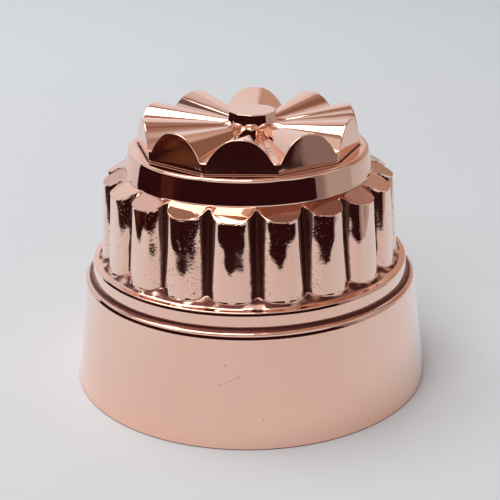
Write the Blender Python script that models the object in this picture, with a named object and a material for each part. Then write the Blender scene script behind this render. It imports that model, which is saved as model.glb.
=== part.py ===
"""A copper jelly mould, standing upside down on its open rim.

Four copper pieces carry the shape: a tapered base band, a struck tier of upright flutes, a plain drum and a
crown of ten petals round a small boss. Brazing metal joins them inside, and each is lined with tin.
Lengths are in metres. The origin is the middle of the rim, on the surface that the mould stands on, with
+Z up and the front towards -Y.
"""

import math

import bmesh
import bpy
import numpy as np
from mathutils import Vector

MM = 0.001

# Sheet, tin and the space between pieces
COPPER = 0.8 * MM
GAP = 0.3 * MM
TIN = 0.25 * MM
LINING_NEAR = COPPER + GAP
LINING_FAR = LINING_NEAR + TIN
# The tier's lining has fewer points round each flute than its copper, and stands this much further in
COARSE_ROOM = 0.2 * MM

# Points round a plain ring: a multiple of four, so that the ring reaches as far along X as along Y
PLAIN_POINTS = 76

# Base band: a tapered strip, a round shoulder and a narrow mouth turned in
RIM_RADIUS = 71.5 * MM
BAND_TOP_RADIUS = 66.25 * MM
BAND_TOP_HEIGHT = 41.1 * MM
SHOULDER_ROUND = 2.8 * MM
SHOULDER_END_ANGLE = math.radians(70)
SHOULDER_STEPS = 4
MOUTH_RADIUS = 63.35 * MM
MOUTH_HEIGHT = 43.9 * MM
BAND_LINING_FOOT = 3.0 * MM
BAND_LINING_TOP = 38.9 * MM

# Cramped seam that closes the band, at the back: the brass runs in and out round square teeth
SEAM_ACROSS = 2.9 * MM
SEAM_WIDTH = 1.0 * MM
SEAM_TOOTH_DEPTH = 1.6 * MM
SEAM_TOOTH_HEIGHT = 4.2 * MM
SEAM_TOOTH_SLOPE = 1.0 * MM
SEAM_LOW = -2.0 * MM
SEAM_HIGH = 50.0 * MM
SEAM_CUT_NEAR = 60.0 * MM
SEAM_CUT_FAR = 80.0 * MM

# Fluted tier: skirt, collar, ledge, nineteen flutes with sloping lids, and a neck that laps inside the drum
FLUTES = 19
FLUTE_TURN = math.radians(-6.6)
FLUTE_STEPS = (0.0, 0.45, 0.75, 0.92, 1.0)
FLUTE_COARSE_STEPS = (0.0, 0.75, 1.0)
FLUTE_POWER = 2.2
SKIRT_RADIUS = 62.9 * MM
SKIRT_FOOT = 39.0 * MM
COLLAR_FOOT = 44.9 * MM
COLLAR_TOP_RADIUS = 62.5 * MM
COLLAR_TOP = 48.6 * MM
LEDGE_RADIUS = 61.0 * MM
LEDGE_HEIGHT = 50.05 * MM
FLUTE_FOOT_RADIUS = 59.2 * MM
FLUTE_FOOT_HEIGHT = 51.3 * MM
FLUTE_TOP_RADIUS = 56.4 * MM
FLUTE_TOP_HEIGHT = 81.2 * MM
VALLEY_FOOT_RADIUS = 55.9 * MM
VALLEY_FOOT_HEIGHT = 52.9 * MM
VALLEY_TOP_RADIUS = 50.4 * MM
VALLEY_TOP_HEIGHT = 84.2 * MM
NECK_FOOT_RADIUS = 48.1 * MM
NECK_FOOT = 84.6 * MM
NECK_TOP_RADIUS = 47.2 * MM
NECK_TOP = 87.4 * MM

# Drum: a tapered ring with a round top corner and a flat ledge with a ten-sided opening
DRUM_FOOT_RADIUS = 49.3 * MM
DRUM_FOOT = 84.9 * MM
DRUM_TOP_RADIUS = 46.7 * MM
DRUM_TOP = 92.6 * MM
DRUM_LEDGE_RADIUS = 45.25 * MM
DRUM_LEDGE = 94.0 * MM
DRUM_LINING_FOOT = 89.8 * MM
DRUM_LINING_TOP = 92.5 * MM

# Crown: ten petals with flat upright faces, round a ten-sided boss
PETALS = 10
PETAL_TURN = math.radians(-4.17)
PETAL_STEPS = (-1.0, -0.88, -0.66, -0.4, 0.0, 0.4, 0.66, 0.88)
PETAL_POWER = 2.5
PETAL_ARCH_SHARE = 0.9
CROWN_FLAT = 41.2 * MM
CROWN_FOOT = 91.0 * MM
PETAL_TOP = 107.0 * MM
PETAL_VALLEY = 98.1 * MM
BOSS_FOOT_RADIUS = 10.9 * MM
BOSS_FOOT_RIDGE = 103.3 * MM
BOSS_FOOT_VALLEY = 101.5 * MM
BOSS_TOP_RADIUS = 8.6 * MM
BOSS_TOP = 107.4 * MM

# Brazed fillets inside, each a ring given by the radii and heights of its corners
SHOULDER_BRAZE = ((63.2, 39.4), (65.35, 39.4), (65.1, 40.9), (63.2, 42.0))
DRUM_BRAZE = ((46.5, 87.7), (47.1, 87.7), (46.75, 88.9), (46.55, 88.9))
CROWN_BRAZE_RADIUS = 44.8 * MM
CROWN_BRAZE_FOOT = 91.3 * MM
CROWN_BRAZE_TOP = 92.85 * MM

# Finishes: linear red, green and blue, then roughness
COPPER_FINISH = ((0.82, 0.44, 0.31), 0.12)
BRASS_FINISH = ((0.72, 0.53, 0.25), 0.3)
TIN_FINISH = ((0.62, 0.62, 0.6), 0.4)
# Edges that turn by more than this are drawn sharp
SHARP_ANGLE = math.radians(35)

# A point is not moved in by more than this many depths where walls meet in a sharp crease
MOST_MITRE = 1.5
# Faces nearer to one plane than this share count as one when a sheet is moved in
FLAT_SHARE = 0.12


def polar(radius, angle, height):
    """A point at this angle from the front, turning towards +X."""
    return Vector((radius * math.sin(angle), -radius * math.cos(angle), height))


def plain_angles():
    """Even angles round the axis, the first of them at the front."""
    return [math.tau * step / PLAIN_POINTS for step in range(PLAIN_POINTS)]


def flute_columns(steps=FLUTE_STEPS):
    """(angle, share of the way from a flute's middle to its valley) for each upright line of points."""
    half_pitch = math.pi / FLUTES
    both_sides = [-step for step in reversed(steps[1:])] + list(steps[:-1])
    columns = []
    for flute in range(FLUTES):
        middle = FLUTE_TURN + flute * 2 * half_pitch
        columns += [(middle + step * half_pitch, abs(step)) for step in both_sides]
    return columns


def petal_columns():
    """(petal's angle, share of the way from its middle to its corner) for each line of points."""
    pitch = math.tau / PETALS
    return [(PETAL_TURN + petal * pitch, step) for petal in range(PETALS) for step in PETAL_STEPS]


def plain_ring(radius, height, angles):
    """A round ring with its points at these angles."""
    return [polar(radius, angle, height) for angle in angles]


def fluted_ring(crest, valley, columns):
    """A ring that swings between the crest and the valley, each given as (radius, height)."""
    ring = []
    for angle, share in columns:
        swell = math.sqrt(max(0.0, 1 - share**FLUTE_POWER))
        radius = valley[0] + (crest[0] - valley[0]) * swell
        height = valley[1] + (crest[1] - valley[1]) * swell
        ring.append(polar(radius, angle, height))
    return ring


def petal_angle(middle, step):
    """The angle of a point that lies this share of the way along a petal's flat face."""
    return middle + math.atan(step * math.tan(math.pi / PETALS))


def petal_height(step, ridge, valley):
    """The height of a petal's arch: ridge in the middle, valley at the corners."""
    share = min(1.0, abs(step) / PETAL_ARCH_SHARE)
    return valley + (ridge - valley) * (1 - share**PETAL_POWER)


def petal_ring(flat, ridge, valley):
    """A ten-sided ring with flat faces at this distance from the axis, its top edge an arch on each face."""
    ring = []
    for middle, step in petal_columns():
        angle = petal_angle(middle, step)
        radius = flat / math.cos(angle - middle)
        ring.append(polar(radius, angle, petal_height(step, ridge, valley)))
    return ring


def boss_ring(corner, ridge, valley):
    """A ten-sided ring with its corners on the petals' ridges."""
    half_side = math.pi / PETALS
    ring = []
    for middle, step in petal_columns():
        angle = petal_angle(middle, step)
        radius = corner * math.cos(half_side) / math.cos(half_side - abs(angle - middle))
        ring.append(polar(radius, angle, petal_height(step, ridge, valley)))
    return ring


def drum_ring(radius, height):
    """A plain ring with its points in line with those of the crown."""
    return [polar(radius, petal_angle(middle, step), height) for middle, step in petal_columns()]


def loft(rings, wrapped=False, apex=None):
    """An open sheet through rings of equal length, listed from the foot up, with its faces pointing out."""
    sheet = bmesh.new()
    rows = [[sheet.verts.new(point) for point in ring] for ring in rings]
    pairs = list(zip(rows, rows[1:]))
    if wrapped:
        pairs.append((rows[-1], rows[0]))
    for low, high in pairs:
        for here in range(len(low)):
            after = (here + 1) % len(low)
            sheet.faces.new((low[here], low[after], high[after], high[here]))
    if apex is not None:
        top = sheet.verts.new(apex)
        for here in range(len(rows[-1])):
            sheet.faces.new((rows[-1][here], rows[-1][(here + 1) % len(rows[-1])], top))
    sheet.verts.index_update()
    sheet.normal_update()
    return sheet


def moved_in(sheet, depth, level_points):
    """Where each point of the sheet lies on the sheet that runs depth inside it.

    A point keeps its distance to the planes of all the faces that meet in it, except that it goes no
    further than MOST_MITRE depths into a sharp crease. The first level_points points keep their height, so
    that a foot stays flat on the floor.
    """
    places = []
    for point in sheet.verts:
        planes = [face.normal for face in point.link_faces]
        steps = [-depth] * len(planes)
        if point.index < level_points:
            planes.append(Vector((0, 0, 1)))
            steps.append(0.0)
        left, strengths, directions = np.linalg.svd(np.array(planes), full_matrices=False)
        move = Vector((0, 0, 0))
        for share, strength, direction in zip(left.T @ np.array(steps), strengths, directions):
            if strength > FLAT_SHARE * strengths[0]:
                length = float(np.clip(share / strength, -MOST_MITRE * depth, MOST_MITRE * depth))
                move += length * Vector(direction)
        places.append(point.co + move)
    return places


def shell(name, rings, near, far, material, apex=None, level_foot=False):
    """A thin closed solid between the depths near and far behind the sheet through the rings.

    Both of its faces are split into the same triangles, so that a thin skin keeps its thickness where its
    four-sided faces are twisted.
    """
    sheet = loft(rings, apex=apex)
    level_points = len(rings[0]) if level_foot else 0
    solid = bmesh.new()
    outer = [solid.verts.new(place) for place in moved_in(sheet, near, level_points)]
    inner = [solid.verts.new(place) for place in moved_in(sheet, far, level_points)]
    bmesh.ops.triangulate(sheet, faces=sheet.faces, quad_method="SHORT_EDGE")
    for face in sheet.faces:
        corners = [point.index for point in face.verts]
        solid.faces.new([outer[corner] for corner in corners])
        solid.faces.new([inner[corner] for corner in reversed(corners)])
    for edge in sheet.edges:
        if edge.is_boundary:
            loop = edge.link_loops[0]
            start, end = loop.vert.index, loop.link_loop_next.vert.index
            solid.faces.new((outer[end], outer[start], inner[start], inner[end]))
    sheet.free()
    return placed(name, solid, material)


def fillet(name, rings, material):
    """A closed ring of metal through the rings, which run round its section."""
    return placed(name, loft(rings, wrapped=True), material)


def placed(name, solid, material):
    """Turns a mesh into an object of the scene, shaded smooth except at its sharp edges."""
    bmesh.ops.recalc_face_normals(solid, faces=solid.faces)
    mesh = bpy.data.meshes.new(name)
    solid.to_mesh(mesh)
    solid.free()
    mesh.shade_smooth()
    mesh.set_sharp_from_angle(angle=SHARP_ANGLE)
    mesh.materials.append(material)
    obj = bpy.data.objects.new(name, mesh)
    bpy.context.scene.collection.objects.link(obj)
    return obj


def metal(name, colour, roughness):
    """A bare metal finish."""
    material = bpy.data.materials.new(name)
    material.use_nodes = True
    shader = material.node_tree.nodes["Principled BSDF"]
    shader.inputs["Base Color"].default_value = (*colour, 1.0)
    shader.inputs["Metallic"].default_value = 1.0
    shader.inputs["Roughness"].default_value = roughness
    return material


def on_wall(foot, top, height):
    """The radius at this height on a straight wall between two (radius, height) points."""
    share = (height - foot[1]) / (top[1] - foot[1])
    return foot[0] + (top[0] - foot[0]) * share


def band_profile():
    """(radius, height) points up the outside of the base band."""
    lean = math.atan2(RIM_RADIUS - BAND_TOP_RADIUS, BAND_TOP_HEIGHT)
    middle_radius = BAND_TOP_RADIUS - SHOULDER_ROUND * math.cos(lean)
    middle_height = BAND_TOP_HEIGHT - SHOULDER_ROUND * math.sin(lean)
    points = [(RIM_RADIUS, 0.0)]
    for step in range(SHOULDER_STEPS + 1):
        angle = lean + (SHOULDER_END_ANGLE - lean) * step / SHOULDER_STEPS
        radius = middle_radius + SHOULDER_ROUND * math.cos(angle)
        height = middle_height + SHOULDER_ROUND * math.sin(angle)
        points.append((radius, height))
    points.append((MOUTH_RADIUS, MOUTH_HEIGHT))
    return points


def whole_band(name, copper):
    """The base band before its seam is let in."""
    angles = plain_angles()
    rings = [plain_ring(radius, height, angles) for radius, height in band_profile()]
    return shell(name, rings, 0.0, COPPER, copper, level_foot=True)


def seam_path():
    """(across, up) points along the middle of the seam, in and out round the teeth."""
    points = []
    side = 1
    low = SEAM_LOW
    while low < SEAM_HIGH:
        across = SEAM_ACROSS + side * SEAM_TOOTH_DEPTH / 2
        points += [(across, low), (across, low + SEAM_TOOTH_HEIGHT - SEAM_TOOTH_SLOPE)]
        low += SEAM_TOOTH_HEIGHT
        side = -side
    return points


def beside(path, distance):
    """The path moved sideways by this distance, with mitred corners."""
    points = [Vector(point) for point in path]
    moved = []
    for index, point in enumerate(points):
        before = points[max(index - 1, 0)]
        after = points[min(index + 1, len(points) - 1)]
        sides = [(end - start).normalized().orthogonal() for start, end in ((before, point), (point, after))
                 if end != start]
        across = sum(sides, Vector((0, 0)))
        scale = distance * len(sides) / across.length_squared
        moved.append(point + across * scale)
    return moved


def seam_blade(name, width):
    """An upright blade of this width that follows the seam through the back of the band."""
    left = beside(seam_path(), width / 2)
    right = beside(seam_path(), -width / 2)
    outline = left + list(reversed(right))
    blade = bmesh.new()
    near = [blade.verts.new((across, SEAM_CUT_NEAR, up)) for across, up in outline]
    face = blade.faces.new(near)
    pushed = bmesh.ops.extrude_face_region(blade, geom=[face])
    moved = [item for item in pushed["geom"] if isinstance(item, bmesh.types.BMVert)]
    bmesh.ops.translate(blade, verts=moved, vec=(0, SEAM_CUT_FAR - SEAM_CUT_NEAR, 0))
    bmesh.ops.recalc_face_normals(blade, faces=blade.faces)
    mesh = bpy.data.meshes.new(name)
    blade.to_mesh(mesh)
    blade.free()
    obj = bpy.data.objects.new(name, mesh)
    bpy.context.scene.collection.objects.link(obj)
    obj.hide_render = True
    obj.display_type = "WIRE"
    return obj


def cut(obj, cutter, operation):
    """Cuts the object with the cutter, or keeps only what lies inside it."""
    boolean = obj.modifiers.new("seam", "BOOLEAN")
    boolean.operation = operation
    boolean.object = cutter
    boolean.solver = "EXACT"


def base_band(copper, brass):
    """The rolled strip, open along its seam, and the line of brass that closes it."""
    band = whole_band("base_band", copper)
    cut(band, seam_blade("seam_slot", SEAM_WIDTH + 2 * GAP), "DIFFERENCE")
    braze = whole_band("band_seam_braze", brass)
    cut(braze, seam_blade("seam_line", SEAM_WIDTH), "INTERSECT")


def band_lining(tin):
    """The tin inside the band, from just above the rim to just below the fillet at the shoulder."""
    angles = plain_angles()
    foot = (RIM_RADIUS, 0.0)
    top = (BAND_TOP_RADIUS, BAND_TOP_HEIGHT)
    heights = (BAND_LINING_FOOT, BAND_LINING_TOP)
    rings = [plain_ring(on_wall(foot, top, height), height, angles) for height in heights]
    shell("band_lining", rings, LINING_NEAR, LINING_FAR, tin)


def tier_rings(columns):
    """The outside of the fluted tier, from the foot of its skirt to the top of its neck."""
    angles = [angle for angle, _ in columns]
    crest_foot = (FLUTE_FOOT_RADIUS, FLUTE_FOOT_HEIGHT)
    crest_top = (FLUTE_TOP_RADIUS, FLUTE_TOP_HEIGHT)
    valley_foot = (VALLEY_FOOT_RADIUS, VALLEY_FOOT_HEIGHT)
    valley_top = (VALLEY_TOP_RADIUS, VALLEY_TOP_HEIGHT)
    return [
        plain_ring(SKIRT_RADIUS, SKIRT_FOOT, angles),
        plain_ring(SKIRT_RADIUS, COLLAR_FOOT, angles),
        plain_ring(COLLAR_TOP_RADIUS, COLLAR_TOP, angles),
        plain_ring(LEDGE_RADIUS, LEDGE_HEIGHT, angles),
        fluted_ring(crest_foot, valley_foot, columns),
        fluted_ring(crest_top, valley_top, columns),
        plain_ring(NECK_FOOT_RADIUS, NECK_FOOT, angles),
        plain_ring(NECK_TOP_RADIUS, NECK_TOP, angles),
    ]


def fluted_tier(copper):
    """The struck ring with the collar, the ledge and the flutes."""
    shell("fluted_tier", tier_rings(flute_columns()), 0.0, COPPER, copper)


def tier_lining(tin):
    """The tin inside the tier, with fewer points round each flute."""
    rings = tier_rings(flute_columns(FLUTE_COARSE_STEPS))
    shell("tier_lining", rings, LINING_NEAR + COARSE_ROOM, LINING_FAR + COARSE_ROOM, tin)


def drum(copper):
    """The plain ring that carries the crown, its top turned in as a ledge."""
    rings = [
        drum_ring(DRUM_FOOT_RADIUS, DRUM_FOOT),
        drum_ring(DRUM_TOP_RADIUS, DRUM_TOP),
        drum_ring(DRUM_LEDGE_RADIUS, DRUM_LEDGE),
        petal_ring(CROWN_FLAT + GAP, DRUM_LEDGE, DRUM_LEDGE),
    ]
    shell("drum", rings, 0.0, COPPER, copper)


def drum_lining(tin):
    """The tin on the drum's wall, between the fillet on the neck and the one under the ledge."""
    foot = (DRUM_FOOT_RADIUS, DRUM_FOOT)
    top = (DRUM_TOP_RADIUS, DRUM_TOP)
    rings = [drum_ring(on_wall(foot, top, height), height) for height in (DRUM_LINING_FOOT, DRUM_LINING_TOP)]
    shell("drum_lining", rings, LINING_NEAR, LINING_FAR, tin)


def between(low, high, share):
    """A ring this share of the way from one ring to another."""
    return [start.lerp(end, share) for start, end in zip(low, high)]


def crown_rings():
    """The outside of the crown, from its foot in the drum to the edge of the boss's flat top."""
    rim = petal_ring(CROWN_FLAT, PETAL_TOP, PETAL_VALLEY)
    boss_foot = boss_ring(BOSS_FOOT_RADIUS, BOSS_FOOT_RIDGE, BOSS_FOOT_VALLEY)
    return [
        petal_ring(CROWN_FLAT, CROWN_FOOT, CROWN_FOOT),
        rim,
        between(rim, boss_foot, 0.5),
        boss_foot,
        boss_ring(BOSS_TOP_RADIUS, BOSS_TOP, BOSS_TOP),
    ]


def petal_crown(copper):
    """The struck cap with the petals and the boss."""
    shell("petal_crown", crown_rings(), 0.0, COPPER, copper, apex=(0, 0, BOSS_TOP))


def crown_lining(tin):
    """The tin inside the crown and the boss."""
    shell("crown_lining", crown_rings(), LINING_NEAR, LINING_FAR, tin, apex=(0, 0, BOSS_TOP))


def round_fillet(name, corners_mm, material):
    """A fillet of one section all the way round."""
    angles = plain_angles()
    fillet(name, [plain_ring(radius * MM, height * MM, angles) for radius, height in corners_mm], material)


def crown_braze(brass):
    """The fillet between the crown's ten-sided foot and the underside of the drum's ledge."""
    inner = CROWN_FLAT + GAP
    rings = [
        petal_ring(inner, CROWN_BRAZE_FOOT, CROWN_BRAZE_FOOT),
        drum_ring(CROWN_BRAZE_RADIUS, CROWN_BRAZE_TOP - GAP),
        drum_ring(CROWN_BRAZE_RADIUS, CROWN_BRAZE_TOP),
        petal_ring(inner, CROWN_BRAZE_TOP, CROWN_BRAZE_TOP),
    ]
    fillet("crown_braze", rings, brass)


def main():
    """Clears the scene and makes every piece."""
    for obj in list(bpy.data.objects):
        bpy.data.objects.remove(obj)
    copper = metal("polished_copper", *COPPER_FINISH)
    brass = metal("brass_spelter", *BRASS_FINISH)
    tin = metal("wiped_tin", *TIN_FINISH)
    base_band(copper, brass)
    fluted_tier(copper)
    drum(copper)
    petal_crown(copper)
    round_fillet("shoulder_braze", SHOULDER_BRAZE, brass)
    round_fillet("drum_braze", DRUM_BRAZE, brass)
    crown_braze(brass)
    band_lining(tin)
    tier_lining(tin)
    drum_lining(tin)
    crown_lining(tin)


main()
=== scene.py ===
"""The looks of a polished copper jelly mould that stands upside down on its open rim.

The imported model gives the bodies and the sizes. The four copper pieces, their tin linings and the brazed seam
at the back are built again here as fine closed sheets, and every surface gets its finish. Lengths are in
metres, with +Z up and the photographed front towards -Y.
"""

import logging
import math
from dataclasses import dataclass
from enum import Enum
from typing import Any, Sequence

import bpy
import numpy as np
from mathutils import Matrix, Vector


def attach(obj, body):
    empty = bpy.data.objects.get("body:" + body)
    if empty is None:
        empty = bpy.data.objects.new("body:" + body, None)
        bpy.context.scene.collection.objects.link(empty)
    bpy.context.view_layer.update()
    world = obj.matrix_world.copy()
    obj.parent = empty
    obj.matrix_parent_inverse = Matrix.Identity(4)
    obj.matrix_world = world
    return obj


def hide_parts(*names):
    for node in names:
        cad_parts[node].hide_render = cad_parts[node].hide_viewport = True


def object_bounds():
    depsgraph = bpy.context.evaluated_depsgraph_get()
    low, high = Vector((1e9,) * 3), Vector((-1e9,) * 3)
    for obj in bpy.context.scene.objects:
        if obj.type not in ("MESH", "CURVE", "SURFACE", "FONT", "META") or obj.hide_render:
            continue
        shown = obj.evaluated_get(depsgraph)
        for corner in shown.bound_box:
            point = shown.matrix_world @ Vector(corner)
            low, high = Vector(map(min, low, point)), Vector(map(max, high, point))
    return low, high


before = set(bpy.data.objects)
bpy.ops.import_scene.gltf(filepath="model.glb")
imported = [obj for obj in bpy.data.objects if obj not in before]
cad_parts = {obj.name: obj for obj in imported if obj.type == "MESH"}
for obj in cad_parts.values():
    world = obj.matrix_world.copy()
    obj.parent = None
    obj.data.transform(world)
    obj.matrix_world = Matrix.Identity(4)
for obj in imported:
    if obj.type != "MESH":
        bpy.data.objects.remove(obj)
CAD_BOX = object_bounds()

MM = 0.001
BODY = "root"
log = logging.getLogger("jelly_mould")

# Edges that turn by more than this are drawn sharp
SHARP_ANGLE = math.radians(31)
# A point of an inner sheet moves at most this many depths into a sharp crease
MOST_MITRE = 1.5
# Faces nearer to one plane than this share count as one when a sheet is moved in
FLAT_SHARE = 0.12
# A rounded corner takes at most this share of the runs beside it
MOST_CUT = 0.46
# How far before and after its key a rounded corner counts along the profile
HALF_BEND = 0.25
# Keeps a division by a length from failing where the length is nothing
TINY = 1e-15


class Slot(Enum):
    """The material slots."""

    COPPER = "polished_copper"
    BRASS = "brass_spelter"
    TIN = "wiped_tin"


def linear(code: str) -> tuple[float, float, float, float]:
    """Turns an sRGB hex colour into a linear one.

    Args:
        code: Six hex digits, two for each of red, green and blue.

    Returns:
        Red, green, blue and an alpha of 1.
    """
    shares = [int(code[start:start + 2], 16) / 255 for start in (0, 2, 4)]
    return (*[s / 12.92 if s <= 0.04045 else ((s + 0.055) / 1.055) ** 2.4 for s in shares], 1.0)


def per_metre(length: float) -> float:
    """The texture scale that gives features of this length."""
    return 1.0 / length


def add(tree: bpy.types.NodeTree, kind: str, inputs: dict[Any, Any] | None = None,
        **settings: Any) -> bpy.types.Node:
    """Adds a node to a tree.

    Args:
        tree: The node tree.
        kind: The node's type name.
        inputs: For each input, by name or number, a value, the socket that feeds it, or the node whose first
            output does.
        **settings: Values for the node's own properties.

    Returns:
        The new node.
    """
    node = tree.nodes.new(kind)
    for name, value in settings.items():
        setattr(node, name, value)
    for name, value in (inputs or {}).items():
        if isinstance(value, bpy.types.Node):
            value = next(socket for socket in value.outputs if socket.enabled)
        if isinstance(value, bpy.types.NodeSocket):
            tree.links.new(value, node.inputs[name])
        else:
            node.inputs[name].default_value = value
    return node


def new_material(name: str) -> tuple[bpy.types.Material, bpy.types.NodeTree, bpy.types.NodeSocket]:
    """Makes a material that starts from the place on the object.

    Args:
        name: The material's name.

    Returns:
        The material, its node tree, and the socket that gives the place.
    """
    material = bpy.data.materials.new(name)
    material.use_nodes = True
    tree = material.node_tree
    tree.nodes.clear()
    return material, tree, add(tree, "ShaderNodeTexCoord").outputs["Object"]


@dataclass(frozen=True)
class PolishedCopper:
    """Sheet copper, struck over a die and buffed to a mirror.

    The metal is a rosy mirror. Buffing leaves very fine lines round the mould, the die and the hammer leave
    slow waves that bend what it mirrors, and a few pits and brown stains stay where the buff can't reach.
    The same brown also paints shade and reflection: dark in the flutes' valleys and at their feet, on the
    ledge, in the band's cove and at its rim.
    """

    name: str = "buffed_sheet_copper"
    rosy: str = "FCCEBE"
    peach: str = "FACEB4"
    tint_length: float = 22 * MM
    lid_brown: str = "AF6F5C"
    # The brown of stains, pits and scratches, which also paints the shade and reflection in the valleys,
    # creases, cove and rim
    stain_and_shade: str = "62302A"
    roughness: float = 0.04
    stain_and_shade_roughness: float = 0.38
    # Oxide is a dull film on the metal, which mirrors less and shows a brown of its own. The painted shade and
    # reflection under the same mask are dulled the same way
    stain_and_shade_metal: float = 0.68
    # A noise pushes the edge of the brown this far either way. The metal is brown from the first of the two
    # limits on and quite brown from the second, and the gate keeps it bare where the mesh asks for no brown.
    # That brown is partly stains and partly painted shade and reflection
    ragged_length: float = 1.8 * MM
    ragged_push: float = 0.35
    stain_and_shade_limits: tuple[float, float] = (0.3, 0.95)
    stain_and_shade_gate: float = 4.0
    wave_height: float = 0.010 * MM
    wave_length: float = 7 * MM
    dimple_height: float = 0.003 * MM
    dimple_length: float = 1.6 * MM
    wear_height: float = 0.014 * MM
    wear_length: float = 0.9 * MM
    line_height: float = 0.0003 * MM
    line_length: float = 30 * MM
    # A buffing line is about 0.02 mm wide, which no pixel shows, so the lines are drawn 0.5 mm apart
    line_spacing: float = 0.5 * MM
    pit_spacing: float = 4.5 * MM
    pit_width: float = 0.32 * MM
    pit_depth: float = 0.03 * MM
    # The share of the places that have no single pit
    pitless: float = 0.8
    # Small pits crowd where a noise is above the first limit, or on quite worn metal above the second
    crowd_length: float = 0.75 * MM
    crowd_limits: tuple[float, float] = (0.78, 0.55)
    crowd_edge: float = 0.05
    # Pits and scratches are full within this share of their half width
    core: float = 0.4
    # Old scratches on the front: (x, z) of the left end, length, rise in degrees, width and strength
    marks: tuple[tuple[float, ...], ...] = (
        (-14.0, 23.2, 14.0, 25, 0.6, 0.4), (4.6, 33.0, 1.8, 55, 0.35, 0.45),
        (10.0, 13.2, 4.5, -38, 0.3, 0.25))
    # A noise breaks the scratches up: they are gone below the first limit and whole above the second
    break_length: float = 1.6 * MM
    break_limits: tuple[float, float] = (0.35, 0.6)

    def build(self) -> bpy.types.Material:
        """Makes the material."""
        material, tree, place = new_material(self.name)
        tint = add(tree, "ShaderNodeTexNoise",
                   {"Vector": place, "Scale": per_metre(self.tint_length), "Detail": 2.0})
        colour = add(tree, "ShaderNodeMix",
                     {"Factor": tint, "A": linear(self.rosy), "B": linear(self.peach)}, data_type="RGBA")
        dull, worn = (add(tree, "ShaderNodeAttribute", attribute_name=name).outputs["Fac"]
                      for name in ("lid_brown", "worn"))
        # The brown mask: stains, and painted shade and painted reflection where the mesh asks for them
        stains_and_shade = self.stain_and_shade_mask(tree, place)
        pits = self.pit_mask(tree, place, worn)
        marks = self.mark_mask(tree, place)
        brown = self.stain_and_shade
        for mask, code in ((dull, self.lid_brown), (stains_and_shade, brown), (pits, brown), (marks, brown)):
            colour = add(tree, "ShaderNodeMix",
                         {"Factor": mask, "A": colour, "B": linear(code)}, data_type="RGBA")
        rough, metal = (add(tree, "ShaderNodeMapRange", {"Value": stains_and_shade, "To Min": bare, "To Max": full})
                        for bare, full in ((self.roughness, self.stain_and_shade_roughness), (1.0, self.stain_and_shade_metal)))
        shader = add(tree, "ShaderNodeBsdfPrincipled", {
            "Base Color": colour, "Metallic": metal, "Roughness": rough,
            "Normal": self.relief(tree, place, pits, worn)})
        add(tree, "ShaderNodeOutputMaterial", {"Surface": shader})
        return material

    def stain_and_shade_mask(self, tree: bpy.types.NodeTree, place: bpy.types.NodeSocket) -> bpy.types.Node:
        """How brown the metal is: the mesh says where, from stains where the buff can't reach and from painted
        shade and reflection in the valleys and creases; a noise makes its edge ragged.

        Args:
            tree: The material's tree.
            place: The socket that gives the place on the object.

        Returns:
            The node that gives the mask.
        """
        stain_and_shade_amount = add(tree, "ShaderNodeAttribute", attribute_name="stain_and_shade").outputs["Fac"]
        ragged = add(tree, "ShaderNodeTexNoise", {
            "Vector": place, "Scale": per_metre(self.ragged_length), "Detail": 3.0, "Roughness": 0.65})
        pushed = add(tree, "ShaderNodeMath", {0: ragged, 1: 2 * self.ragged_push, 2: -self.ragged_push},
                     operation="MULTIPLY_ADD")
        summed = add(tree, "ShaderNodeMath", {0: stain_and_shade_amount, 1: pushed}, operation="ADD")
        low, high = self.stain_and_shade_limits
        kept = add(tree, "ShaderNodeMapRange", {"Value": summed, "From Min": low, "From Max": high},
                   interpolation_type="SMOOTHSTEP")
        gate = add(tree, "ShaderNodeMath", {0: stain_and_shade_amount, 1: self.stain_and_shade_gate}, operation="MULTIPLY",
                   use_clamp=True)
        return add(tree, "ShaderNodeMath", {0: kept, 1: gate}, operation="MULTIPLY")

    def mark_mask(self, tree: bpy.types.NodeTree, place: bpy.types.NodeSocket) -> bpy.types.Node:
        """The old scratches on the front of the mould, each a soft and broken line.

        Args:
            tree: The material's tree.
            place: The socket that gives the place on the object.

        Returns:
            The node that gives the mask.
        """
        noise = add(tree, "ShaderNodeTexNoise",
                    {"Vector": place, "Scale": per_metre(self.break_length), "Detail": 2.0})
        low, high = self.break_limits
        broken = add(tree, "ShaderNodeMapRange", {"Value": noise, "From Min": low, "From Max": high})
        depth = add(tree, "ShaderNodeSeparateXYZ", {"Vector": place}).outputs["Y"]
        front = add(tree, "ShaderNodeMath", {0: depth, 1: 0.0}, operation="LESS_THAN")
        total: Any = 0.0
        for left, height, length, rise, width, strength in self.marks:
            line = add(tree, "ShaderNodeMapping", {
                "Vector": place, "Location": (left * MM, 0.0, height * MM),
                "Rotation": (0.0, -math.radians(rise), 0.0)}, vector_type="TEXTURE")
            along = add(tree, "ShaderNodeSeparateXYZ", {"Vector": line})
            middle = add(tree, "ShaderNodeMath", {0: along.outputs["X"], 1: length * MM / 2},
                         operation="SUBTRACT")
            mask = add(tree, "ShaderNodeMath", {0: front, 1: strength}, operation="MULTIPLY")
            for value, size in ((middle, length), (along.outputs["Z"], width)):
                half = size * MM / 2
                away = add(tree, "ShaderNodeMath", {0: value}, operation="ABSOLUTE")
                near = add(tree, "ShaderNodeMapRange",
                           {"Value": away, "From Min": half, "From Max": half * self.core},
                           interpolation_type="SMOOTHSTEP")
                mask = add(tree, "ShaderNodeMath", {0: mask, 1: near}, operation="MULTIPLY")
            total = add(tree, "ShaderNodeMath", {0: total, 1: mask}, operation="MAXIMUM")
        return add(tree, "ShaderNodeMath", {0: total, 1: broken}, operation="MULTIPLY")

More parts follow.
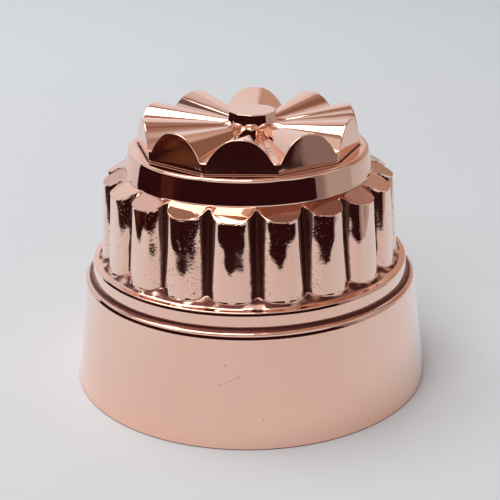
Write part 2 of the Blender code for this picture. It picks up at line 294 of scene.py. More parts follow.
    def pit_mask(self, tree: bpy.types.NodeTree, place: bpy.types.NodeSocket,
                 worn: bpy.types.NodeSocket) -> bpy.types.Node:
        """A few single round pits, and crowds of small ones where the mesh says that the metal is worn.

        Args:
            tree: The material's tree.
            place: The socket that gives the place on the object.
            worn: The socket that says how worn the metal is.

        Returns:
            The node that gives the mask.
        """
        cells = add(tree, "ShaderNodeTexVoronoi",
                    {"Vector": place, "Scale": per_metre(self.pit_spacing), "Randomness": 1.0})
        width = self.pit_width / self.pit_spacing
        dot = add(tree, "ShaderNodeMapRange",
                  {"Value": cells.outputs["Distance"], "From Min": width, "From Max": width * self.core})
        chosen = add(tree, "ShaderNodeSeparateColor", {"Color": cells.outputs["Color"]}).outputs["Red"]
        few = add(tree, "ShaderNodeMath", {0: chosen, 1: self.pitless}, operation="GREATER_THAN")
        single = add(tree, "ShaderNodeMath", {0: dot, 1: few}, operation="MULTIPLY")
        grain = add(tree, "ShaderNodeTexNoise", {
            "Vector": place, "Scale": per_metre(self.crowd_length), "Detail": 2.0, "Roughness": 0.7})
        whole, worn_down = self.crowd_limits
        limit = add(tree, "ShaderNodeMapRange", {"Value": worn, "To Min": whole, "To Max": worn_down})
        above = add(tree, "ShaderNodeMath", {0: grain, 1: limit}, operation="SUBTRACT")
        crowd = add(tree, "ShaderNodeMapRange", {"Value": above, "From Max": self.crowd_edge})
        return add(tree, "ShaderNodeMath", {0: single, 1: crowd}, operation="MAXIMUM")

    def relief(self, tree: bpy.types.NodeTree, place: bpy.types.NodeSocket, pits: bpy.types.Node,
               worn: bpy.types.NodeSocket) -> bpy.types.Node:
        """Slow waves, small dimples, worn patches, buffing lines and pits, as one bumped normal.

        Args:
            tree: The material's tree.
            place: The socket that gives the place on the object.
            pits: The mask of the pits.
            worn: The socket that says how worn the metal is.

        Returns:
            The node that gives the normal.
        """
        waves, dimples, patches = (
            add(tree, "ShaderNodeTexNoise", {"Vector": place, "Scale": per_metre(length), "Detail": detail})
            for length, detail in (
                (self.wave_length, 1.0), (self.dimple_length, 2.0), (self.wear_length, 3.0)))
        wear = add(tree, "ShaderNodeMath", {0: patches, 1: worn}, operation="MULTIPLY")
        flat = per_metre(self.line_length)
        drawn = add(tree, "ShaderNodeMapping",
                    {"Vector": place, "Scale": (flat, flat, per_metre(self.line_spacing))})
        lines = add(tree, "ShaderNodeTexNoise", {"Vector": drawn, "Scale": 1.0, "Detail": 3.0})
        normal = add(tree, "ShaderNodeBump", {"Height": waves, "Distance": self.wave_height})
        for height, distance, inwards in (
                (dimples, self.dimple_height, False), (wear, self.wear_height, False),
                (lines, self.line_height, False), (pits, self.pit_depth, True)):
            normal = add(tree, "ShaderNodeBump", {"Height": height, "Distance": distance, "Normal": normal},
                         invert=inwards)
        return normal


@dataclass(frozen=True)
class RunBrass:
    """Brass spelter that was run into a joint and filed flush.

    It is yellower than the copper and a little duller, with a faint grain from the file.
    """

    name: str = "run_brass_spelter"
    bright: str = "E6CB8E"
    dull: str = "C9A468"
    roughness: float = 0.22
    patch_length: float = 2 * MM
    grain_length: float = 0.4 * MM
    grain_height: float = 0.006 * MM

    def build(self) -> bpy.types.Material:
        """Makes the material."""
        material, tree, place = new_material(self.name)
        patches, grain = (
            add(tree, "ShaderNodeTexNoise", {"Vector": place, "Scale": per_metre(length), "Detail": detail})
            for length, detail in ((self.patch_length, 3.0), (self.grain_length, 2.0)))
        colour = add(tree, "ShaderNodeMix",
                     {"Factor": patches, "A": linear(self.bright), "B": linear(self.dull)}, data_type="RGBA")
        relief = add(tree, "ShaderNodeBump", {"Height": grain, "Distance": self.grain_height})
        shader = add(tree, "ShaderNodeBsdfPrincipled", {
            "Base Color": colour, "Metallic": 1.0, "Roughness": self.roughness, "Normal": relief})
        add(tree, "ShaderNodeOutputMaterial", {"Surface": shader})
        return material


@dataclass(frozen=True)
class WipedTin:
    """Molten tin that was wiped over the inside with a pad.

    It is a soft grey silver, with broad wipe marks that run round the mould and bright and dull patches.
    """

    name: str = "hot_wiped_tin"
    bright: str = "D9D8D2"
    dull: str = "A9A9A6"
    low_roughness: float = 0.24
    high_roughness: float = 0.46
    wipe_length: float = 40 * MM
    wipe_width: float = 3.5 * MM
    wipe_height: float = 0.03 * MM
    # The wipes lean a little from level, in radians about x, y and z
    wipe_lean: tuple[float, float, float] = (0.12, 0.08, 0.0)

    def build(self) -> bpy.types.Material:
        """Makes the material."""
        material, tree, place = new_material(self.name)
        flat = per_metre(self.wipe_length)
        along = add(tree, "ShaderNodeMapping", {
            "Vector": place, "Rotation": self.wipe_lean, "Scale": (flat, flat, per_metre(self.wipe_width))})
        wipes = add(tree, "ShaderNodeTexNoise", {"Vector": along, "Scale": 1.0, "Detail": 4.0})
        colour = add(tree, "ShaderNodeMix",
                     {"Factor": wipes, "A": linear(self.bright), "B": linear(self.dull)}, data_type="RGBA")
        rough = add(tree, "ShaderNodeMapRange",
                    {"Value": wipes, "To Min": self.low_roughness, "To Max": self.high_roughness})
        relief = add(tree, "ShaderNodeBump", {"Height": wipes, "Distance": self.wipe_height})
        shader = add(tree, "ShaderNodeBsdfPrincipled", {
            "Base Color": colour, "Metallic": 1.0, "Roughness": rough, "Normal": relief})
        add(tree, "ShaderNodeOutputMaterial", {"Surface": shader})
        return material


@dataclass(frozen=True)
class Bend:
    """A rounded corner of a profile: how far back on each side it starts, and its number of steps."""

    cut: float
    steps: int


@dataclass
class Sheet:
    """A grid of points: rows from the foot up, and one column for each angle round the axis.

    Attributes:
        points: The places, shaped (rows, columns, 3).
        stations: For each row, where it lies on the profile: 2.5 is half-way from key 2 to key 3.
    """

    points: np.ndarray
    stations: np.ndarray


def polar(radius: Any, angle: Any, height: Any) -> np.ndarray:
    """Points round the axis.

    Args:
        radius: Distance from the axis, a number or an array.
        angle: Angle from the front, turning towards +X.
        height: Height over the floor.

    Returns:
        The points, with x, y and z in the last axis.
    """
    radius, angle, height = np.broadcast_arrays(radius, angle, height)
    return np.stack((radius * np.sin(angle), -radius * np.cos(angle), height), axis=-1)


def soften(keys: np.ndarray, bends: Sequence[Bend], spacing: float) -> Sheet:
    """Rounds the corners of a profile and fills its straight runs.

    Args:
        keys: The profile's corners, shaped (corners, columns, 3).
        bends: One for each inner corner.
        spacing: The longest distance between two rows on a straight run.

    Returns:
        The finished sheet.
    """
    rows, stations = [keys[0]], [0.0]

    def run_to(end: np.ndarray, high: float) -> None:
        """Adds the rows of a straight run, without the one at its end."""
        start, low = rows[-1], stations[-1]
        count = max(1, math.ceil(np.linalg.norm(end - start, axis=-1).max() / spacing))
        for share in (step / count for step in range(1, count)):
            rows.append(start + (end - start) * share)
            stations.append(low + (high - low) * share)

    for index, bend in enumerate(bends, start=1):
        corner = keys[index]
        sides = []
        for end in (keys[index - 1], keys[index + 1]):
            length = np.linalg.norm(end - corner, axis=-1, keepdims=True)
            sides.append(corner + (end - corner) * np.minimum(bend.cut / length, MOST_CUT))
        run_to(sides[0], index - HALF_BEND)
        for share in (step / bend.steps for step in range(bend.steps + 1)):
            first = sides[0] + (corner - sides[0]) * share
            second = corner + (sides[1] - corner) * share
            rows.append(first + (second - first) * share)
            stations.append(index - HALF_BEND + 2 * HALF_BEND * share)
    last = len(keys) - 1
    run_to(keys[last], last)
    return Sheet(np.array(rows + [keys[last]]), np.array(stations + [last]))


def unit(vectors: np.ndarray) -> np.ndarray:
    """The vectors in the last axis, brought to length 1."""
    return vectors / np.maximum(np.linalg.norm(vectors, axis=-1, keepdims=True), TINY)


def face_normals(points: np.ndarray) -> np.ndarray:
    """The unit normals of the four-sided faces of a sheet that closes round the axis.

    Args:
        points: The sheet's points, shaped (rows, columns, 3).

    Returns:
        One normal for each face, shaped (rows - 1, columns, 3), with the face after each column.
    """
    after = np.roll(points, -1, axis=1)
    return unit(np.cross(after[1:] - points[:-1], points[1:] - after[:-1]))


def sunk(points: np.ndarray, depth: float) -> np.ndarray:
    """The sheet that runs at this depth inside another.

    A point keeps its distance to the planes of the four faces round it, except that it goes no further than
    MOST_MITRE depths into a sharp crease.

    Args:
        points: The sheet's points, shaped (rows, columns, 3).
        depth: How far in the new sheet lies.

    Returns:
        The new sheet's points.
    """
    normals = face_normals(points)
    below = np.concatenate((normals[:1], normals))
    above = np.concatenate((normals, normals[-1:]))
    planes = np.stack((below, above, np.roll(below, 1, axis=1), np.roll(above, 1, axis=1)), axis=2)
    left, strengths, directions = np.linalg.svd(planes, full_matrices=False)
    shares = -depth * left.sum(axis=2) / np.maximum(strengths, TINY)
    shares = np.clip(shares, -MOST_MITRE * depth, MOST_MITRE * depth)
    shares *= strengths > FLAT_SHARE * strengths[..., :1]
    return points + (shares[..., None] * directions).sum(axis=2)


def row_normals(points: np.ndarray) -> np.ndarray:
    """Unit normals at a sheet's points.

    Args:
        points: The sheet's points, shaped (rows, columns, 3).

    Returns:
        One normal for each point.
    """
    normals = face_normals(points)
    padded = np.concatenate((normals[:1], normals, normals[-1:]))
    summed = padded[:-1] + padded[1:]
    return unit(summed + np.roll(summed, 1, axis=1))


def smooth_step(values: np.ndarray, low: float, high: float) -> np.ndarray:
    """A soft step from 0 at low to 1 at high."""
    share = np.clip((values - low) / (high - low), 0.0, 1.0)
    return share * share * (3 - 2 * share)


def between(values: np.ndarray, start: float, full: float, fade: float, end: float) -> np.ndarray:
    """Rises softly from 0 at start to 1 at full, and falls again from fade to end."""
    return smooth_step(values, start, full) * (1 - smooth_step(values, fade, end))


@dataclass(frozen=True)
class HandWork:
    """The slow unevenness that striking, hammering and buffing leave in a sheet.

    Attributes:
        height: About the greatest swing of the surface.
        length: The usual distance from crest to crest.
        seed: Which of the possible patterns it is.
        waves: How many plain waves are added up.
        spread: The shortest and the longest wave, as shares of the length.
    """

    height: float
    length: float
    seed: int
    waves: int = 14
    spread: tuple[float, float] = (0.7, 1.7)

    def lift(self, points: np.ndarray) -> np.ndarray:
        """The height of the unevenness.

        Args:
            points: Places, with x, y and z in the last axis.

        Returns:
            One height for each place.
        """
        rng = np.random.default_rng(self.seed)
        total = np.zeros(points.shape[:-1])
        for _ in range(self.waves):
            direction = unit(rng.normal(size=3))
            turn = math.tau / (self.length * rng.uniform(*self.spread))
            total += np.sin(points @ direction * turn + rng.uniform(0, math.tau))
        return total * self.height / math.sqrt(self.waves)

    def work(self, sheet: Sheet) -> Sheet:
        """The sheet with its unevenness, its first and last rows left as they were.

        Args:
            sheet: The even sheet.

        Returns:
            The uneven sheet, kept within the height of the CAD model.
        """
        lift = self.lift(sheet.points)[..., None] * row_normals(sheet.points)
        lift[0] = lift[-1] = 0.0
        points = sheet.points + lift
        points[..., 2] = np.clip(points[..., 2], CAD_BOX[0][2], CAD_BOX[1][2])
        return Sheet(points, sheet.stations)


def strip(low: int, high: int, columns: int) -> list[tuple[int, ...]]:
    """The faces between two rings of points, by the number of each ring's first point."""
    return [(low + here, low + (here + 1) % columns, high + (here + 1) % columns, high + here)
            for here in range(columns)]


def grid(rows: int, columns: int, start: int = 0, flipped: bool = False) -> list[tuple[int, ...]]:
    """The faces of a grid of points that closes round the axis.

    Args:
        rows: Number of rows.
        columns: Number of columns.
        start: Number of the grid's first point.
        flipped: Whether the faces look towards the axis.

    Returns:
        Four point numbers for each face.
    """
    faces = []
    for low in range(start, start + (rows - 1) * columns, columns):
        faces += strip(low, low + columns, columns)
    return [face[::-1] for face in faces] if flipped else faces


def new_object(name: str, points: Any, faces: Sequence[tuple[int, ...]],
               material: bpy.types.Material) -> bpy.types.Object:
    """Makes a mesh object and adds it to the scene.

    Args:
        name: The object's name.
        points: The places of its points, with x, y and z in the last axis.
        faces: The point numbers of each face.
        material: Its finish.

    Returns:
        The object.
    """
    mesh = bpy.data.meshes.new(name)
    mesh.from_pydata(np.reshape(points, (-1, 3)).tolist(), [], faces)
    mesh.materials.append(material)
    obj = bpy.data.objects.new(name, mesh)
    bpy.context.scene.collection.objects.link(obj)
    return obj


@dataclass
class Piece:
    """One closed piece of the mould, ready to be dressed.

    Attributes:
        name: The object's name.
        node: The CAD node that it stands for.
        slot: The slot that it takes its finish from.
        finish: The finish for each slot.
    """

    name: str
    node: str
    slot: Slot
    finish: dict[Slot, bpy.types.Material]

    def shell(self, outer: np.ndarray, inner: np.ndarray, marks: dict[str, np.ndarray], capped: bool) -> None:
        """Makes the closed solid between two sheets.

        Args:
            outer: The outside, shaped (rows, columns, 3).
            inner: The inside, with as many columns and any number of rows.
            marks: For each mark that the copper's finish reads, by name, how much of it each outer point has,
                from 0 to 1: brown stains with painted shade and reflection, the lids' brown, and wear.
            capped: Whether the top closes over the axis. If not, it is an open edge like the foot.
        """
        columns = outer.shape[1]
        places = [outer.reshape(-1, 3), inner.reshape(-1, 3)]
        start_inner = len(places[0])
        top = start_inner + len(places[1])
        faces = grid(len(outer), columns) + grid(len(inner), columns, start_inner, flipped=True)
        faces += strip(start_inner, 0, columns)
        last_outer = start_inner - columns
        last_inner = top - columns
        if capped:
            places += [sheet[-1].mean(axis=0)[None] for sheet in (outer, inner)]
            for last, centre, turn in ((last_outer, top, 1), (last_inner, top + 1, -1)):
                faces += [(*(last + here, last + (here + 1) % columns)[::turn], centre)
                          for here in range(columns)]
        else:
            faces += strip(last_outer, last_inner, columns)
        points = np.concatenate(places)
        layers = {}
        for name, values in marks.items():
            layers[name] = np.zeros(len(points), dtype=np.float32)
            layers[name][:start_inner] = values.reshape(-1)
        self.dress(points, faces, layers)

    def dress(self, points: np.ndarray, faces: list[tuple[int, ...]], layers: dict[str, np.ndarray]) -> None:
        """Turns points and faces into a finished object that rides on the mould's body.

        Args:
            points: The places of the points.
            faces: The point numbers of each face.
            layers: One value for each point, by the name that the finish reads it by.
        """
        obj = new_object(self.name, points, faces, self.finish[self.slot])
        for name, values in layers.items():
            obj.data.attributes.new(name, "FLOAT", "POINT").data.foreach_set("value", values)
        obj.data.shade_smooth()
        obj.data.set_sharp_from_angle(angle=SHARP_ANGLE)
        weigh = obj.modifiers.new("broad_faces_lead", "WEIGHTED_NORMAL")
        weigh.keep_sharp = True
        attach(obj, BODY)
        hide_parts(self.node)
        log.info("%s: %d points, %d faces", self.name, len(obj.data.vertices), len(faces))


@dataclass(frozen=True)
class Gauge:
    """Thickness of the metals, shared by all the pieces, and the gap between copper and tin."""

    copper: float = 0.8 * MM
    gap: float = 0.3 * MM
    tin: float = 0.25 * MM

    def lining(self) -> tuple[float, float]:
        """How deep behind the outside of the copper the tin's near and far faces lie."""
        near = self.copper + self.gap
        return near, near + self.tin


@dataclass
class CopperPart:
    """A piece of the mould's copper with the tin inside it.

    Attributes:
        finish: The finish for each slot.
        node: The copper's CAD node.
        lining: The tin's CAD node.
        gauge: How thick the metals are.
        inner_spacing: The longest distance between two rows of the inside and the tin.
    """

    finish: dict[Slot, bpy.types.Material]
    node: str
    lining: str
    gauge: Gauge = Gauge()
    inner_spacing: float = 6 * MM

    def inner_faces(self, keys: np.ndarray, bends: Sequence[Bend]) -> list[np.ndarray]:
        """The inside of the copper and the two faces of the tin, where all three follow the outside.

        Args:
            keys: The corners of the outside.
            bends: How they are rounded.

        Returns:
            The points of the three sheets.
        """
        return [soften(sunk(keys, depth), bends, self.inner_spacing).points
                for depth in (self.gauge.copper, *self.gauge.lining())]

    def wall_lining(self, wall: np.ndarray) -> list[np.ndarray]:
        """The two faces of the tin behind a plain wall."""
        return [sunk(wall, depth) for depth in self.gauge.lining()]

    def make(self, sheets: Sequence[np.ndarray], marks: dict[str, np.ndarray], capped: bool = False) -> None:
        """Makes the copper piece and its lining.

        Args:
            sheets: The outside and the inside of the copper, then the near and the far face of the tin.
            marks: For each mark that the copper's finish reads, by name, how much of it each outer point has,
                from 0 to 1: brown stains with painted shade and reflection, the lids' brown, and wear.
            capped: Whether the top closes over the axis.
        """
        outside, inside, near, far = sheets
        Piece(f"{self.node}_sheet", self.node, Slot.COPPER, self.finish).shell(outside, inside, marks, capped)
        Piece(f"{self.node}_tin", self.lining, Slot.TIN, self.finish).shell(near, far, {}, capped)


@dataclass
class BaseBand(CopperPart):
    """The tall plain band at the foot: a rolled strip with a round shoulder and a cove under the collar."""

    node: str = "base_band"
    lining: str = "band_lining"
    columns: int = 264
    rim_radius: float = 71.5 * MM
    wall_lean: float = 5.25 / 41.1
    shoulder_height: float = 43.1 * MM
    cove: tuple[float, float] = (63.55 * MM, 43.65 * MM)
    mouth: tuple[float, float] = (63.3 * MM, 44.75 * MM)
    # How the rim, the shoulder and the cove are rounded, and inside the shoulder and the cove
    bends: tuple[Bend, ...] = (Bend(0.45 * MM, 3), Bend(2.0 * MM, 10), Bend(0.9 * MM, 7))
    inner_bends: tuple[Bend, ...] = (Bend(1.4 * MM, 6), Bend(0.5 * MM, 3))
    row_spacing: float = 2.5 * MM
    inner_spacing: float = 4 * MM
    lining_foot: float = 3.0 * MM
    lining_top: float = 38.9 * MM
    lining_rows: int = 6
    # Along the profile, where the painted shade in the cove grows and the painted dark line at the rim ends
    cove_shade: tuple[float, float] = (2.4, 2.9)
    rim_shade: tuple[float, float] = (1.08, 1.18)
    hand_work: HandWork = HandWork(0.010 * MM, 17 * MM, 5)

    def wall(self, height: Any) -> Any:
        """The radius of the straight wall at a height."""
        return self.rim_radius - height * self.wall_lean

    def profile(self) -> list[tuple[float, float]]:
        """(radius, height) of the outside's corners, from the cut edge at the rim to the mouth."""
        return [
            (self.rim_radius - self.gauge.copper * 0.5, 0.0),
            (self.rim_radius, 0.0),
            (self.wall(self.shoulder_height), self.shoulder_height),
            self.cove,
            self.mouth,
        ]

    def keys(self, profile: Sequence[tuple[float, float]]) -> np.ndarray:
        """The corners of a profile at every angle, the first of them at the front."""
        angles = np.arange(self.columns) * math.tau / self.columns
        return np.array([polar(radius, angles, height) for radius, height in profile])

    def outside(self) -> Sheet:
        """The outside of the band."""
        return self.hand_work.work(soften(self.keys(self.profile()), self.bends, self.row_spacing))

    def stain_and_shade(self, sheet: Sheet) -> np.ndarray:
        """Painted shade: brown in the cove under the collar, and a thin dark line at the rim where it meets the
        table.
        """
        brown = np.maximum(smooth_step(sheet.stations, *self.cove_shade),
                           1 - smooth_step(sheet.stations, *self.rim_shade))
        return np.repeat(brown[:, None], self.columns, axis=1)

    def build(self) -> None:
        """Makes the band and its lining."""
        outside = self.outside()
        inside = sunk(self.keys(self.profile()[1:]), self.gauge.copper)
        inside[0, :, 2] = 0.0
        inside = soften(inside, self.inner_bends, self.inner_spacing).points
        heights = np.linspace(self.lining_foot, self.lining_top, self.lining_rows)
        wall = self.keys([(self.wall(height), height) for height in heights])
        self.make([outside.points, inside, *self.wall_lining(wall)], {"stain_and_shade": self.stain_and_shade(outside)})


@dataclass
class CrampedSeam:
    """The brass in the seam that closes the rolled band, in and out round square teeth."""

    band: BaseBand
    across: float = 2.9 * MM
    width: float = 1.0 * MM
    tooth_depth: float = 1.6 * MM
    tooth_height: float = 4.2 * MM
    tooth_slope: float = 1.0 * MM
    foot: float = 0.15 * MM
    top: float = 43.6 * MM
    proud: float = 0.02 * MM
    let_in: float = 0.7 * MM
    round_steps: int = 3

    def path(self) -> np.ndarray:
        """(across, up) points along the middle of the seam, its corners cut at each quarter to round them."""
        corners = []
        side = 1
        low = -self.tooth_height / 2
        while low < self.top + self.tooth_height:
            place = self.across + side * self.tooth_depth / 2
            corners += [(place, low), (place, low + self.tooth_height - self.tooth_slope)]
            low += self.tooth_height
            side = -side
        path = np.array(corners)
        for _ in range(self.round_steps):
            quarter = path[:-1] * 0.75 + path[1:] * 0.25
            three = path[:-1] * 0.25 + path[1:] * 0.75
            path = np.stack((quarter, three), axis=1).reshape(-1, 2)
        return path[(path[:, 1] > self.foot) & (path[:, 1] < self.top)]

    def build(self) -> None:
        """Makes the line of brass, flush with the outside of the band."""
        path = self.path()
        along = unit(np.gradient(path, axis=0))
        sideways = np.stack((along[:, 1], -along[:, 0]), axis=1) * self.width / 2
        outside = self.band.outside().points[:, 0]
        heights, radii = outside[:, 2], -outside[:, 1]
        edges = []
        for edge, depth in ((1, -self.proud), (-1, -self.proud), (-1, self.let_in), (1, self.let_in)):
            place = path + edge * sideways
            radius = np.interp(place[:, 1], heights, radii) - depth
            far = np.sqrt(radius**2 - place[:, 0] ** 2)
            edges.append(np.stack((place[:, 0], far, place[:, 1]), axis=1))
        faces = grid(len(path), len(edges))
        last = (len(path) - 1) * len(edges)
        faces += [tuple(reversed(range(len(edges)))), tuple(range(last, last + len(edges)))]
        piece = Piece("band_seam_line", "band_seam_braze", Slot.BRASS, self.band.finish)
        piece.dress(np.stack(edges, axis=1), faces, {})


@dataclass
class FlutedTier(CopperPart):
    """The struck tier: a collar and a ledge, and nineteen upright flutes with sloping half-round lids."""

    node: str = "fluted_tier"
    lining: str = "tier_lining"
    flutes: int = 19
    turn: float = math.radians(-6.6)
    steps: int = 36
    arc_share: float = 0.86
    arc_angle: float = math.radians(65)
    fillet: float = 0.215
    # (radius, height) of the skirt's foot and top, the collar's top, the edge of its bevel and the ledge
    skirt_to_ledge: tuple[tuple[float, float], ...] = (
        (62.9 * MM, 39.0 * MM), (62.9 * MM, 44.6 * MM), (62.6 * MM, 48.85 * MM), (62.27 * MM, 49.97 * MM),
        (60.6 * MM, 50.3 * MM))
    crest_foot: tuple[float, float] = (59.2 * MM, 51.3 * MM)
    crest_top: tuple[float, float] = (57.05 * MM, 81.2 * MM)
    valley_foot: tuple[float, float] = (55.5 * MM, 52.9 * MM)
    valley_top: tuple[float, float] = (50.7 * MM, 84.2 * MM)
    neck: tuple[tuple[float, float], ...] = ((47.05 * MM, 84.9 * MM), (46.4 * MM, 87.4 * MM))
    # How the corners between the skirt and the neck are rounded
    bends: tuple[Bend, ...] = (
        Bend(0.3 * MM, 2), Bend(0.2 * MM, 2), Bend(0.4 * MM, 6), Bend(0.4 * MM, 3), Bend(0.45 * MM, 5),
        Bend(0.5 * MM, 6), Bend(0.4 * MM, 3))
    row_spacing: float = 0.9 * MM
    # Which of the corners is the foot of the flutes. Below, heights on a flute are told in keys from it, so
    # that 1 is the edge of the lid
    foot_row: int = 5
    wall_start: float = 0.05
    wall_length: float = 0.9
    lid_start: tuple[float, float] = (0.9, 1.2)
    # The first of the front flutes, from the left. Their hollows: how far down, as a share of the height,
    # how far beside the middle, how wide, and how much they lean
    first_front: int = 16
    front_hollows: tuple[tuple[float, float, float, float], ...] = (
        (0.14, 0.4, 0.14, 0.04), (0.6, 0.06, 0.2, 0.053), (0.84, 0.04, 0.3, 0.044),
        (0.64, -0.04, 0.1, 0.044), (0.57, -0.18, 0.13, 0.045), (0.6, -0.28, 0.16, 0.048),
        (0.6, -0.42, 0.2, 0.042))
    # The same for the other flutes, from the least to the most
    least_hollow: tuple[float, float, float, float] = (0.35, -0.2, 0.1, 0.03)
    most_hollow: tuple[float, float, float, float] = (0.65, 0.2, 0.2, 0.045)
    hollow_top: float = 0.52
    hollow_onset: float = 0.06
    # How much a column counts as turned to the front: this many times the sine of its angle, up to the most
    front_gain: float = 1.6
    front_most: float = 1.5
    # How brown the lids are: those of the front flutes, the least and the most of the others, and over what
    # height it sets in
    front_lids: tuple[float, ...] = (0.0, 0.0, 0.2, 0.12, 0.7, 0.75, 0.85)
    other_lids: tuple[float, float] = (0.2, 0.6)
    lid_edge: tuple[float, float] = (1.0, 1.04)
    sag: float = 0.35 * MM
    lid_roll: float = 0.09 * MM
    roll_start: float = 0.92
    # How much fuller a flute is at the top, where beside its middle, and how wide; then what the side that
    # looks to the front adds to each
    fullness: tuple[float, float, float] = (0.45 * MM, 0.52, 0.2)
    more_fullness: tuple[float, float, float] = (0.8 * MM, 0.14, 0.1)
    # Where the painted shade of the valleys, the brown of the ledge and the wear start, are full, fade and end
    valley_shade: tuple[float, ...] = (-0.2, 0.2, 0.9, 1.05)
    ledge_brown_span: tuple[float, ...] = (-0.76, -0.68, -0.05, 0.05)
    wear: tuple[float, ...] = (-0.1, 0.2, 0.85, 1.0)
    # How far beside the middle the valley's painted shade and reflection start at the foot, how much nearer at
    # the lid, how much further on the side that looks to the front, where the flank mirrors the light, and how
    # wide its edge is
    valley_shade_start: float = 0.66
    valley_shade_nearer: float = 0.16
    valley_shade_further: float = 0.2
    valley_shade_edge: float = 0.18
    # A painted shade line in the crease at the foot of the flutes
    foot_shade: float = 0.8
    foot_width: float = 0.04
    # How brown the ledge is, apart from its patches, and how much less so on the peaks in front of each
    # valley: at which heights, and how far beside the middle of a flute. That brown is partly stains and partly
    # painted reflection of the darker flutes, and the peaks are left lighter where their rounding mirrors the
    # light
    ledge_brown: float = 0.9
    ledge_patches: HandWork = HandWork(0.4, 6 * MM, 11)
    peak_less_brown: float = 0.7
    peak_heights: tuple[float, float] = (-0.35, -0.15)
    peak_beside: tuple[float, float] = (0.75, 0.95)
    # The least and the most wear of a flute, and how it gathers beside the valley
    wear_range: tuple[float, float] = (0.45, 1.0)
    wear_everywhere: float = 0.5
    wear_beside: float = 0.3
    wear_place: float = 0.62
    wear_width: float = 0.2
    seed: int = 11
    hand_work: HandWork = HandWork(0.016 * MM, 9 * MM, 3)

    def columns(self) -> tuple[np.ndarray, np.ndarray, np.ndarray]:
        """The upright lines of points.

        Returns:
            For each column its angle, its place across its flute, from -1 in the left valley to 1 in the
            right one, and the number of its flute.
        """
        half_pitch = math.pi / self.flutes
        swing = np.sin(np.linspace(-0.5, 0.5, self.steps + 1)[:-1] * math.pi)
        numbers = np.repeat(np.arange(self.flutes), self.steps)
        shares = np.tile(swing, self.flutes)
        return self.turn + (numbers * 2 + shares) * half_pitch, shares, numbers

    def heights(self, sheet: Sheet) -> np.ndarray:
        """How high each row is on the flutes, in keys from their foot, as a column of numbers."""
        return (sheet.stations - self.foot_row)[:, None]

    def swell(self) -> np.ndarray:
        """How far each column stands out, from 0 in the valley to 1: a round arc with a small fillet."""
        shares = np.abs(self.columns()[1])
        across = np.minimum(shares / self.arc_share, 1.0) * math.sin(self.arc_angle)
        foot = math.cos(self.arc_angle)
        arc = self.fillet + (1 - self.fillet) * (np.sqrt(1 - across**2) - foot) / (1 - foot)
        fillet = self.fillet * ((1 - shares) / (1 - self.arc_share)) ** 2
        return np.where(shares < self.arc_share, arc, fillet)

    def fluted(self, crest: tuple[float, float], valley: tuple[float, float]) -> np.ndarray:
        """A ring that swings between crest and valley.

        Args:
            crest: (radius, height) in the middle of each flute.
            valley: (radius, height) between two flutes.

        Returns:
            The points, shaped (columns, 3).
        """
        swell = self.swell()
        radius, height = (low + (high - low) * swell for low, high in zip(valley, crest))
        return polar(radius, self.columns()[0], height)

    def keys(self) -> np.ndarray:
        """The corners of the outside at every column, shaped (corners, columns, 3)."""
        angles = self.columns()[0]
        return np.array([
            *(polar(radius, angles, height) for radius, height in self.skirt_to_ledge),
            self.fluted(self.crest_foot, self.valley_foot),
            self.fluted(self.crest_top, self.valley_top),
            *(polar(radius, angles, height) for radius, height in self.neck),
        ])

    def with_front(self, values: np.ndarray, front: Sequence[Any]) -> np.ndarray:
        """One value for each column: the front flutes get their own, and the others what the values say.

        Args:
            values: The values of all the flutes.
            front: The values of the front flutes, from the left.

        Returns:
            The values, with one column for each column of points.
        """
        values[(self.first_front + np.arange(len(front))) % self.flutes] = front
        return values[self.columns()[2]].T

    def frontwards(self) -> np.ndarray:
        """How much each column lies on the side of its flute that looks to the front."""
        angles, shares, _ = self.columns()
        return np.clip(-np.sign(shares) * np.sin(angles) * self.front_gain, 0.0, self.front_most)

    def struck(self, sheet: Sheet) -> Sheet:
        """The sheet as the die left it: flutes fuller near the top, and hollow in the middle of it.

        Args:
            sheet: The sheet with plain flutes.

        Returns:
            The struck sheet.
        """
        angles, shares, _ = self.columns()
        rng = np.random.default_rng(self.seed)
        others = rng.uniform(self.least_hollow, self.most_hollow, (self.flutes, 4))
        lengths, sides, tips, leans = self.with_front(others, self.front_hollows)
        height = self.heights(sheet)
        up = np.clip((height - self.wall_start) / self.wall_length, 0.0, 1.0)
        below = np.maximum(0.0, up - (1 - lengths))
        width = tips + (self.hollow_top - tips) * (below / lengths) ** 4
        middle = np.exp(-np.abs((shares - sides) / width) ** 3)
        tall = self.crest_top[1] - self.crest_foot[1]
        hollow = leans * tall * below**2 / (below + self.hollow_onset) * middle
        roll = self.lid_roll * np.maximum(0.0, (up - self.roll_start) / (1 - self.roll_start)) ** 2
        lift, place, spread = (plain + more * self.frontwards()
                               for plain, more in zip(self.fullness, self.more_fullness))
        full = lift * up * np.exp(-((np.abs(shares) - place) / spread) ** 2)
        below_lid = 1 - smooth_step(height, *self.lid_start)
        out = (full - hollow - roll) * below_lid - self.sag * 4 * up * (1 - up) * self.swell()
        return Sheet(sheet.points + out[..., None] * polar(1.0, angles, 0.0), sheet.stations)

